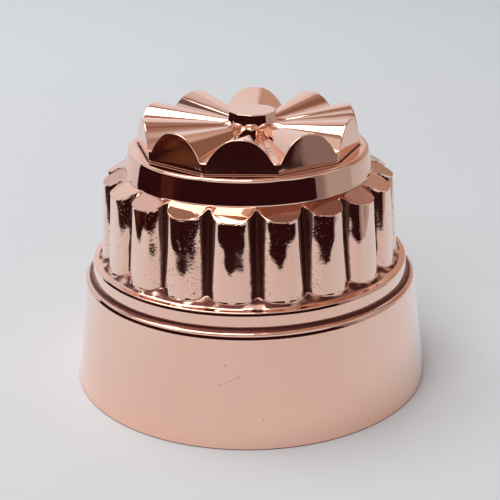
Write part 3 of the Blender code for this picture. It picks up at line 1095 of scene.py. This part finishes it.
    def stain_and_shade(self, sheet: Sheet) -> np.ndarray:
        """Painted shade and reflection in the valleys, less on their frontward sides, a painted shade line at
        the flutes' feet, and brown on the ledge that is partly stains and partly painted reflection.

        Args:
            sheet: The outside.

        Returns:
            How brown each of its points is.
        """
        shares = np.abs(self.columns()[1])
        height = self.heights(sheet)
        start = (self.valley_shade_start - self.valley_shade_nearer * np.clip(height, 0.0, 1.0)
                 + self.valley_shade_further * self.frontwards())
        valley = between(height, *self.valley_shade) * np.clip((shares - start) / self.valley_shade_edge, 0.0, 1.0)
        foot = np.exp(-(height / self.foot_width) ** 2) * self.foot_shade
        patchy = np.clip(self.ledge_brown + self.ledge_patches.lift(sheet.points), 0.0, 1.0)
        peak = 1 - (self.peak_less_brown * smooth_step(height, *self.peak_heights)
                    * smooth_step(shares, *self.peak_beside))
        ledge = between(height, *self.ledge_brown_span) * patchy * peak
        return np.clip(np.maximum(valley, np.maximum(foot, ledge)), 0.0, 1.0)

    def lid_brown(self, sheet: Sheet) -> np.ndarray:
        """Some of the lids are brown, the right ones at the front most of all."""
        others = np.random.default_rng(self.seed).uniform(*self.other_lids, self.flutes)
        return smooth_step(self.heights(sheet), *self.lid_edge) * self.with_front(others, self.front_lids)

    def worn(self, sheet: Sheet) -> np.ndarray:
        """Pitted beside the valleys, more on some flutes than on others."""
        much = np.random.default_rng(self.seed).uniform(*self.wear_range, self.flutes)
        off = (np.abs(self.columns()[1]) - self.wear_place) / self.wear_width
        beside = self.wear_everywhere + self.wear_beside * np.exp(-off**2)
        return between(self.heights(sheet), *self.wear) * self.with_front(much, ()) * beside

    def build(self) -> None:
        """Makes the tier and its lining."""
        keys = self.keys()
        outside = self.hand_work.work(self.struck(soften(keys, self.bends, self.row_spacing)))
        marks = {"stain_and_shade": self.stain_and_shade(outside), "lid_brown": self.lid_brown(outside), "worn": self.worn(outside)}
        self.make([outside.points, *self.inner_faces(keys, self.bends)], marks)


@dataclass(frozen=True)
class PetalPattern:
    """Where the lines of points of the crown and the drum run: evenly along each petal's flat face."""

    petals: int = 10
    turn: float = math.radians(-4.17)
    steps: int = 30
    # How much the lines crowd towards the corners, from 0 where they are even
    crowding: float = 0.35
    power: float = 2.5
    arch_share: float = 0.9

    def columns(self) -> tuple[np.ndarray, np.ndarray]:
        """The petal's middle angle and the share of the way to its corner for each column."""
        close = np.sin(np.linspace(-0.5, 0.5, self.steps + 1)[:-1] * math.pi)
        even = np.linspace(-1, 1, self.steps + 1)[:-1]
        shares = np.tile(self.crowding * close + (1 - self.crowding) * even, self.petals)
        middles = self.turn + np.repeat(np.arange(self.petals), self.steps) * math.tau / self.petals
        return middles, shares

    def angles(self) -> np.ndarray:
        """The angle of each column."""
        middles, shares = self.columns()
        return middles + np.arctan(shares * math.tan(math.pi / self.petals))

    def arch(self, ridge: float, valley: float) -> np.ndarray:
        """The height of each column on the arches: ridge in the middle, valley at the corners."""
        inner = np.minimum(1.0, np.abs(self.columns()[1]) / self.arch_share)
        return valley + (ridge - valley) * (1 - inner**self.power)

    def flat_ring(self, flat: float, height: Any, corner_round: float = 0.0) -> np.ndarray:
        """A ten-sided ring.

        Args:
            flat: Distance of the flat sides from the axis.
            height: One height, or one for each column.
            corner_round: How far from each corner, along the side, its rounding starts.

        Returns:
            The points, shaped (columns, 3).
        """
        slope = math.tan(math.pi / self.petals)
        shares = self.columns()[1]
        half_side = flat * slope
        radius = flat * np.sqrt(1 + (shares * slope) ** 2)
        if corner_round:
            near = np.maximum(0.0, np.abs(shares) * half_side - (half_side - corner_round))
            radius = radius - 0.5 * slope * near**2 / corner_round
        return polar(radius, self.angles(), height)

    def turned_ring(self, corner: float, height: Any) -> np.ndarray:
        """A ten-sided ring with its corners on the petals' ridges.

        Args:
            corner: Distance of the corners from the axis.
            height: One height, or one for each column.

        Returns:
            The points, shaped (columns, 3).
        """
        half = math.pi / self.petals
        away = np.abs(self.angles() - self.columns()[0])
        return polar(corner * math.cos(half) / np.cos(half - away), self.angles(), height)


@dataclass
class Drum(CopperPart):
    """The plain tapered drum with a round top corner and the narrow ledge that the crown stands in."""

    node: str = "drum"
    lining: str = "drum_lining"
    pattern: PetalPattern = PetalPattern()
    hem: tuple[float, float] = (48.45 * MM, 84.55 * MM)
    foot: tuple[float, float] = (48.25 * MM, 84.9 * MM)
    corner: tuple[float, float] = (46.7 * MM, 93.95 * MM)
    # (distance of the flat sides, height) of the bead's far side, top and near side, and of the opening
    ledge: tuple[tuple[float, float], ...] = (
        (42.5 * MM, 93.95 * MM), (42.25 * MM, 94.09 * MM), (42.0 * MM, 93.95 * MM), (41.5 * MM, 93.95 * MM))
    # How the foot, the top corner and the bead round the crown are rounded, and the corner inside
    bends: tuple[Bend, ...] = (
        Bend(0.4 * MM, 5), Bend(1.5 * MM, 9), Bend(0.1 * MM, 2), Bend(0.1 * MM, 2), Bend(0.1 * MM, 2))
    inner_bends: tuple[Bend, ...] = (Bend(0.6 * MM, 4),)
    row_spacing: float = 1.6 * MM
    inner_spacing: float = 3 * MM
    lining_foot: float = 89.8 * MM
    lining_top: float = 92.5 * MM
    lining_rows: int = 3
    # How brown the ledge gets beside the crown, and where along the profile that grows
    brown: float = 0.65
    ledge_brown_span: tuple[float, float] = (4.0, 5.2)
    hand_work: HandWork = HandWork(0.008 * MM, 14 * MM, 8)

    def keys(self) -> np.ndarray:
        """The corners of the outside at every column."""
        angles = self.pattern.angles()
        return np.array([
            *(polar(radius, angles, height) for radius, height in (self.hem, self.foot, self.corner)),
            *(self.pattern.flat_ring(flat, height) for flat, height in self.ledge),
        ])

    def wall(self, height: float) -> float:
        """The radius of the wall at a height."""
        share = (height - self.foot[1]) / (self.corner[1] - self.foot[1])
        return self.foot[0] + (self.corner[0] - self.foot[0]) * share

    def stain_and_shade(self, sheet: Sheet) -> np.ndarray:
        """Brown beside the crown."""
        ledge = self.brown * smooth_step(sheet.stations, *self.ledge_brown_span)
        return np.repeat(ledge[:, None], sheet.points.shape[1], axis=1)

    def build(self) -> None:
        """Makes the drum and its lining."""
        keys = self.keys()
        outside = self.hand_work.work(soften(keys, self.bends, self.row_spacing))
        plain = sunk(np.array([keys[1], keys[2], keys[-1]]), self.gauge.copper)
        inside = soften(plain, self.inner_bends, self.inner_spacing).points
        heights = np.linspace(self.lining_foot, self.lining_top, self.lining_rows)
        wall = np.array([polar(self.wall(height), self.pattern.angles(), height) for height in heights])
        self.make([outside.points, inside, *self.wall_lining(wall)], {"stain_and_shade": self.stain_and_shade(outside)})


@dataclass
class PetalCrown(CopperPart):
    """The struck cap: ten half-cone petals with flat upright faces, which run in to a small boss."""

    node: str = "petal_crown"
    lining: str = "crown_lining"
    pattern: PetalPattern = PetalPattern()
    flat: float = 41.2 * MM
    foot: float = 91.0 * MM
    ridge: float = 107.0 * MM
    valley: float = 98.1 * MM
    corner_round: float = 0.5 * MM
    # The boss's foot, waist, top edge and last ring on its flat top: the distance of the corners from the
    # middle, the height at the petals' ridges, and the height between the petals
    boss: tuple[tuple[float, float, float], ...] = (
        (12.3 * MM, 103.4 * MM, 101.6 * MM), (9.75 * MM, 103.8 * MM, 102.9 * MM),
        (9.2 * MM, 107.4 * MM, 107.4 * MM), (2.76 * MM, 107.4 * MM, 107.4 * MM))
    # It was struck a little to the right of the axis
    boss_beside: float = 1.9 * MM
    # How the arch edge, the slope's middle, the boss's foot, its waist and its top edge are rounded
    bends: tuple[Bend, ...] = (
        Bend(0.7 * MM, 7), Bend(0.5 * MM, 2), Bend(1.2 * MM, 6), Bend(0.5 * MM, 5), Bend(0.4 * MM, 5))
    row_spacing: float = 1.8 * MM
    # How brown the notches get, and where that grows: across a petal, up the face, and from petals to boss
    brown: float = 0.5
    notch: tuple[float, float] = (0.8, 0.95)
    low_stain: tuple[float, float] = (0.2, 0.75)
    top_stain: tuple[float, ...] = (1.2, 1.6, 3.0, 3.4)
    hand_work: HandWork = HandWork(0.010 * MM, 11 * MM, 21)

    def keys(self) -> np.ndarray:
        """The corners of the outside at every column."""
        pattern = self.pattern
        rim = pattern.flat_ring(self.flat, pattern.arch(self.ridge, self.valley), self.corner_round)
        boss = [pattern.turned_ring(corner, pattern.arch(ridge, valley)) + (self.boss_beside, 0.0, 0.0)
                for corner, ridge, valley in self.boss]
        return np.array([
            pattern.flat_ring(self.flat, self.foot, self.corner_round), rim, (rim + boss[0]) / 2, *boss])

    def stain_and_shade(self, sheet: Sheet) -> np.ndarray:
        """Brown in the notches between petals and round the boss."""
        notch = smooth_step(np.abs(self.pattern.columns()[1]), *self.notch)
        low = 1 - smooth_step(sheet.stations, *self.low_stain)
        top = between(sheet.stations, *self.top_stain)
        return self.brown * np.maximum(low, top)[:, None] * notch[None]

    def build(self) -> None:
        """Makes the crown and its lining."""
        keys = self.keys()
        outside = self.hand_work.work(soften(keys, self.bends, self.row_spacing))
        sheets = [outside.points, *self.inner_faces(keys, self.bends)]
        self.make(sheets, {"stain_and_shade": self.stain_and_shade(outside)}, capped=True)


@dataclass
class HiddenFillets:
    """The brazed fillets inside, which keep their CAD solids and get the brass finish."""

    finish: dict[Slot, bpy.types.Material]
    nodes: tuple[str, ...] = ("shoulder_braze", "drum_braze", "crown_braze")

    def build(self) -> None:
        """Gives each fillet the brass finish."""
        for name in self.nodes:
            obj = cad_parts[name]
            obj.data.materials.clear()
            obj.data.materials.append(self.finish[Slot.BRASS])
            log.info("%s: CAD solid with the brass finish", name)


def stage_piece(name: str, points: Any, faces: Sequence[tuple[int, ...]],
                material: bpy.types.Material) -> bpy.types.Object:
    """Adds one piece of the studio, as new_object does."""
    obj = new_object(name, points, faces, material)
    return obj


@dataclass(frozen=True)
class RoomPart:
    """A soft-edged part of the dark room that the copper mirrors.

    Attributes:
        colour: How it looks, as an sRGB hex colour.
        left: Azimuth of its left edge in degrees, where 0 is the front and 90 is +X.
        right: Azimuth of its right edge.
        low: Elevation of its lower edge.
        high: Elevation of its upper edge.
        soft: How many degrees each edge takes to fade.
        tilt: How many degrees further to the left its sides are for each degree of elevation.
        patch: Size of the patches that it breaks up into, or 0 where it is even.
    """

    colour: str
    left: float
    right: float
    low: float
    high: float
    soft: float
    tilt: float = 0.0
    patch: float = 0.0


@dataclass
class DarkRoom:
    """The room round the table, as a dome and a dark floor that only the metal mirrors.

    The polished copper shows hardly any colour of its own apart from its tint: it looks right only when it
    mirrors the dark room in front, the grey wall at the right and the pale sweep behind.
    """

    radius: float = 4.2
    base: str = "E6E4E8"
    parts: tuple[RoomPart, ...] = (
        RoomPart("A0887C", -240, 240, 43, 120, 12),
        RoomPart("C4BCBA", 35, 85, 52, 64, 8),
        RoomPart("DCDEE2", 76, 172, 74, 120, 8),
        RoomPart("D6D6DA", -30, 24, 62, 120, 8),
        RoomPart("BCA294", 110, 172, -60, 37, 14),
        RoomPart("8A6A5C", 108, 138, 16, 76, 10),
        RoomPart("ABA8A5", 58, 112, -60, 32, 12),
        RoomPart("86797A", 56, 72, -60, 32, 8),
        RoomPart("D2D8DE", -146, -100, -60, 42, 14),
        RoomPart("D8D2D8", -178, -138, 30, 49, 5),
        RoomPart("6A5A62", -124, -108, 37, 46, 2),
        RoomPart("DCD4D0", -86, -4, 27, 46, 6),
        RoomPart("2A1214", -116, 62.2, -60, 23, 1.2, 0.27),
        RoomPart("4A1E18", -84, -66, -12, 16, 8, 0.0, 90 * MM),
        RoomPart("5E3A26", -84, -70, -60, 1.5, 3, 0.0, 30 * MM),
    )
    # Patches are gone below the first limit of their noise and whole above the second
    patch_limits: tuple[float, float] = (0.47, 0.62)
    # The dome's rows run from a little below the floor nearly to the top, in degrees
    dome_tilts: tuple[float, float] = (-4, 89)
    rows: int = 24
    columns: int = 72
    # The round edge of the table, from the left over the front to the right, and the floor beyond it
    edge_radius: float = 328 * MM
    edge_left: float = -128
    edge_right: float = 104
    edge_steps: int = 60
    edge_height: float = 1 * MM
    # The window's blue sheen on the table, left and right of the mould: where it starts, is full and ends
    sheen: str = "376D83"
    sheen_start: float = 40
    sheen_full: float = 115
    sheen_fade: float = 165
    sheen_radius: float = 73 * MM
    sheen_height: float = 0.3 * MM

    def build(self) -> None:
        """Adds the dome, the dark floor beyond the table's edge and the sheen, for the metal alone."""
        walls = self.walls()
        angles = np.arange(self.columns) * math.tau / self.columns
        tilts = np.radians(np.linspace(*self.dome_tilts, self.rows))[:, None]
        dome = polar(self.radius * np.cos(tilts), angles, self.radius * np.sin(tilts))
        cap = tuple(range((self.rows - 1) * self.columns, self.rows * self.columns))
        edge_angles = np.radians(np.linspace(self.edge_left, self.edge_right, self.edge_steps))
        edge = polar(np.array([[self.edge_radius], [self.radius]]), edge_angles, self.edge_height)
        edge_faces = [(step, self.edge_steps + step, self.edge_steps + step + 1, step + 1)
                      for step in range(self.edge_steps - 1)]
        ring = polar(np.array([[self.sheen_radius], [self.edge_radius]]), angles, self.sheen_height)
        for name, points, faces, material in (
                ("room_round_the_table", dome, [*grid(self.rows, self.columns, flipped=True), cap], walls),
                ("room_beyond_the_table", edge, edge_faces, walls),
                ("sheen_on_the_table", ring, grid(2, self.columns), self.sheen_finish())):
            card = stage_piece(name, points, faces, material)
            card.visible_camera = False
            card.visible_diffuse = False
            card.visible_shadow = False
            card.visible_transmission = False

    def sheen_finish(self) -> bpy.types.Material:
        """A clear film that adds a little blue light towards the sides."""
        material, tree, place = new_material("window_sheen_on_paper")
        split = add(tree, "ShaderNodeSeparateXYZ", {"Vector": place})
        front = add(tree, "ShaderNodeMath", {0: split.outputs["Y"], 1: -1.0}, operation="MULTIPLY")
        aside = add(tree, "ShaderNodeMath", {0: split.outputs["X"]}, operation="ABSOLUTE")
        turn = add(tree, "ShaderNodeMath", {0: aside, 1: front}, operation="ARCTAN2")
        rise, fall = (
            add(tree, "ShaderNodeMapRange", {
                "Value": turn, "From Min": math.radians(gone), "From Max": math.radians(self.sheen_full)})
            for gone in (self.sheen_start, self.sheen_fade))
        strength = add(tree, "ShaderNodeMath", {0: rise, 1: fall}, operation="MULTIPLY")
        glow = add(tree, "ShaderNodeEmission", {"Color": linear(self.sheen), "Strength": strength})
        clear = add(tree, "ShaderNodeBsdfTransparent")
        both = add(tree, "ShaderNodeAddShader", {0: glow, 1: clear})
        add(tree, "ShaderNodeOutputMaterial", {"Surface": both})
        return material

    def walls(self) -> bpy.types.Material:
        """The room's walls, each part as bright as it looks in the metal."""
        material, tree, place = new_material("walls_of_the_room")
        split = add(tree, "ShaderNodeSeparateXYZ", {"Vector": place})
        front = add(tree, "ShaderNodeMath", {0: split.outputs["Y"], 1: -1.0}, operation="MULTIPLY")
        azimuth = add(tree, "ShaderNodeMath", {0: split.outputs["X"], 1: front}, operation="ARCTAN2")
        flat = add(tree, "ShaderNodeVectorMath", {0: place, 1: (1, 1, 0)}, operation="MULTIPLY")
        away = add(tree, "ShaderNodeVectorMath", {0: flat}, operation="LENGTH")
        elevation = add(tree, "ShaderNodeMath", {0: split.outputs["Z"], 1: away}, operation="ARCTAN2")
        colour: Any = linear(self.base)
        for part in self.parts:
            across = add(tree, "ShaderNodeMath", {0: elevation, 1: part.tilt, 2: azimuth},
                         operation="MULTIPLY_ADD")
            mask: Any = 1.0
            for value, edge, side in ((across, part.left, 1), (across, part.right, -1),
                                      (elevation, part.low, 1), (elevation, part.high, -1)):
                soft = math.radians(part.soft) / 2 * side
                fade = add(tree, "ShaderNodeMapRange", {
                    "Value": value, "From Min": math.radians(edge) - soft,
                    "From Max": math.radians(edge) + soft}, interpolation_type="SMOOTHSTEP")
                mask = add(tree, "ShaderNodeMath", {0: mask, 1: fade}, operation="MULTIPLY")
            if part.patch:
                spots = add(tree, "ShaderNodeTexNoise",
                            {"Vector": place, "Scale": per_metre(part.patch), "Detail": 3.0})
                low, high = self.patch_limits
                kept = add(tree, "ShaderNodeMapRange", {"Value": spots, "From Min": low, "From Max": high})
                mask = add(tree, "ShaderNodeMath", {0: mask, 1: kept}, operation="MULTIPLY")
            colour = add(tree, "ShaderNodeMix", {"Factor": mask, "A": colour, "B": linear(part.colour)},
                         data_type="RGBA")
        glow = add(tree, "ShaderNodeEmission", {"Color": colour, "Strength": 1.0})
        add(tree, "ShaderNodeOutputMaterial", {"Surface": glow})
        return material


@dataclass
class Studio:
    """The plain pale table, one large soft box at the upper left, and the room that the copper mirrors."""

    camera_place: tuple[float, float, float] = (0.0, -413.64 * MM, 211.98 * MM)
    camera_down: float = math.radians(21.459)
    camera_turn: float = math.radians(-0.025)
    camera_roll: float = math.radians(-0.788)
    lens: float = 79.2
    sensor: float = 36.0
    nearest: float = 10 * MM
    floor_near: str = "E8E8EB"
    floor_far: str = "ECF1F5"
    # Where the near colour starts to turn into the far one, and where it has turned
    floor_turn: tuple[float, float] = (0.05, 0.95)
    floor_roughness: float = 0.8
    floor_size: float = 12.0
    floor_height: float = -0.05 * MM
    sky: str = "DADDE0"
    sky_strength: float = 0.3
    soft_box_middle: tuple[float, float, float] = (-0.94, 0.42, 2.5)
    soft_box_size: tuple[float, float] = (1.97, 1.86)
    soft_box_power: float = 37.0
    fill_place: tuple[float, float, float] = (-1.0, -1.7, 2.1)
    fill_size: tuple[float, float] = (1.6, 1.6)
    fill_power: float = 24.0

    def build(self) -> None:
        """Sets the camera, the table, the light and the room, and shows colours as they are written."""
        bpy.context.scene.view_settings.view_transform = "Standard"
        self.add_camera()
        self.add_floor()
        DarkRoom().build()
        self.add_world()
        self.add_lamps()

    def add_camera(self) -> None:
        """Places the camera as the photograph's was."""
        camera = bpy.data.cameras.new("camera")
        camera.lens = self.lens
        camera.sensor_width = self.sensor
        camera.clip_start = self.nearest
        obj = bpy.data.objects.new("camera", camera)
        turn = Matrix.Rotation(self.camera_turn, 4, "Z")
        tilt = Matrix.Rotation(math.pi / 2 - self.camera_down, 4, "X")
        roll = Matrix.Rotation(self.camera_roll, 4, "Z")
        obj.matrix_world = Matrix.Translation(Vector(self.camera_place)) @ turn @ tilt @ roll
        bpy.context.scene.collection.objects.link(obj)
        bpy.context.scene.camera = obj

    def add_floor(self) -> None:
        """Adds the pale table top, a little bluer and paler towards the back, like a paper sweep."""
        material, tree, place = new_material("matt_paper_sweep")
        depth = add(tree, "ShaderNodeSeparateXYZ", {"Vector": place}).outputs["Y"]
        near, far = self.floor_turn
        share = add(tree, "ShaderNodeMapRange", {"Value": depth, "From Min": near, "From Max": far},
                    interpolation_type="SMOOTHSTEP")
        colour = add(tree, "ShaderNodeMix", {
            "Factor": share, "A": linear(self.floor_near), "B": linear(self.floor_far)}, data_type="RGBA")
        shader = add(tree, "ShaderNodeBsdfPrincipled",
                     {"Base Color": colour, "Roughness": self.floor_roughness})
        add(tree, "ShaderNodeOutputMaterial", {"Surface": shader})
        half = self.floor_size / 2
        square = ((-half, -half), (half, -half), (half, half), (-half, half))
        stage_piece("table", [(x, y, self.floor_height) for x, y in square], [(0, 1, 2, 3)], material)

    def add_world(self) -> None:
        """Adds the pale surroundings, at full strength where they are looked at and dimmer as a light."""
        world = bpy.data.worlds.new("pale_surroundings")
        bpy.context.scene.world = world
        world.use_nodes = True
        tree = world.node_tree
        tree.nodes.clear()
        path = add(tree, "ShaderNodeLightPath")
        seen: Any = path.outputs["Is Camera Ray"]
        for name in ("Is Glossy Ray", "Is Transmission Ray"):
            seen = add(tree, "ShaderNodeMath", {0: seen, 1: path.outputs[name]}, operation="MAXIMUM")
        strength = add(tree, "ShaderNodeMapRange", {"Value": seen, "To Min": self.sky_strength})
        sky = add(tree, "ShaderNodeBackground", {"Color": linear(self.sky), "Strength": strength})
        add(tree, "ShaderNodeOutputWorld", {"Surface": sky})

    def add_lamps(self) -> None:
        """Adds the level soft box at the upper left, and a fill that the metal doesn't mirror."""
        box = self.lamp("soft_box", self.soft_box_size, self.soft_box_power)
        box.matrix_world = Matrix.Translation(Vector(self.soft_box_middle))
        fill = self.lamp("fill", self.fill_size, self.fill_power)
        place = Vector(self.fill_place)
        aim = (-place).to_track_quat("-Z", "Y")
        fill.matrix_world = Matrix.Translation(place) @ aim.to_matrix().to_4x4()
        fill.visible_glossy = False

    def lamp(self, name: str, size: tuple[float, float], power: float) -> bpy.types.Object:
        """Adds a rectangular lamp.

        Args:
            name: The lamp's name.
            size: Its two sides.
            power: Its power in watts.

        Returns:
            The lamp object, still at the origin.
        """
        data = bpy.data.lights.new(name, "AREA")
        data.shape = "RECTANGLE"
        data.size, data.size_y = size
        data.energy = power
        obj = bpy.data.objects.new(name, data)
        bpy.context.scene.collection.objects.link(obj)
        return obj


def main() -> None:
    """Builds the mould piece by piece, then the studio round it."""
    logging.basicConfig(level=logging.INFO, format="%(name)s: %(message)s")
    finishes = {Slot.COPPER: PolishedCopper(), Slot.BRASS: RunBrass(), Slot.TIN: WipedTin()}
    finish = {slot: looks.build() for slot, looks in finishes.items()}
    band = BaseBand(finish)
    for part in (band, CrampedSeam(band), FlutedTier(finish), Drum(finish), PetalCrown(finish),
                 HiddenFillets(finish)):
        part.build()
    Studio().build()


if __name__ == "__main__":
    main()
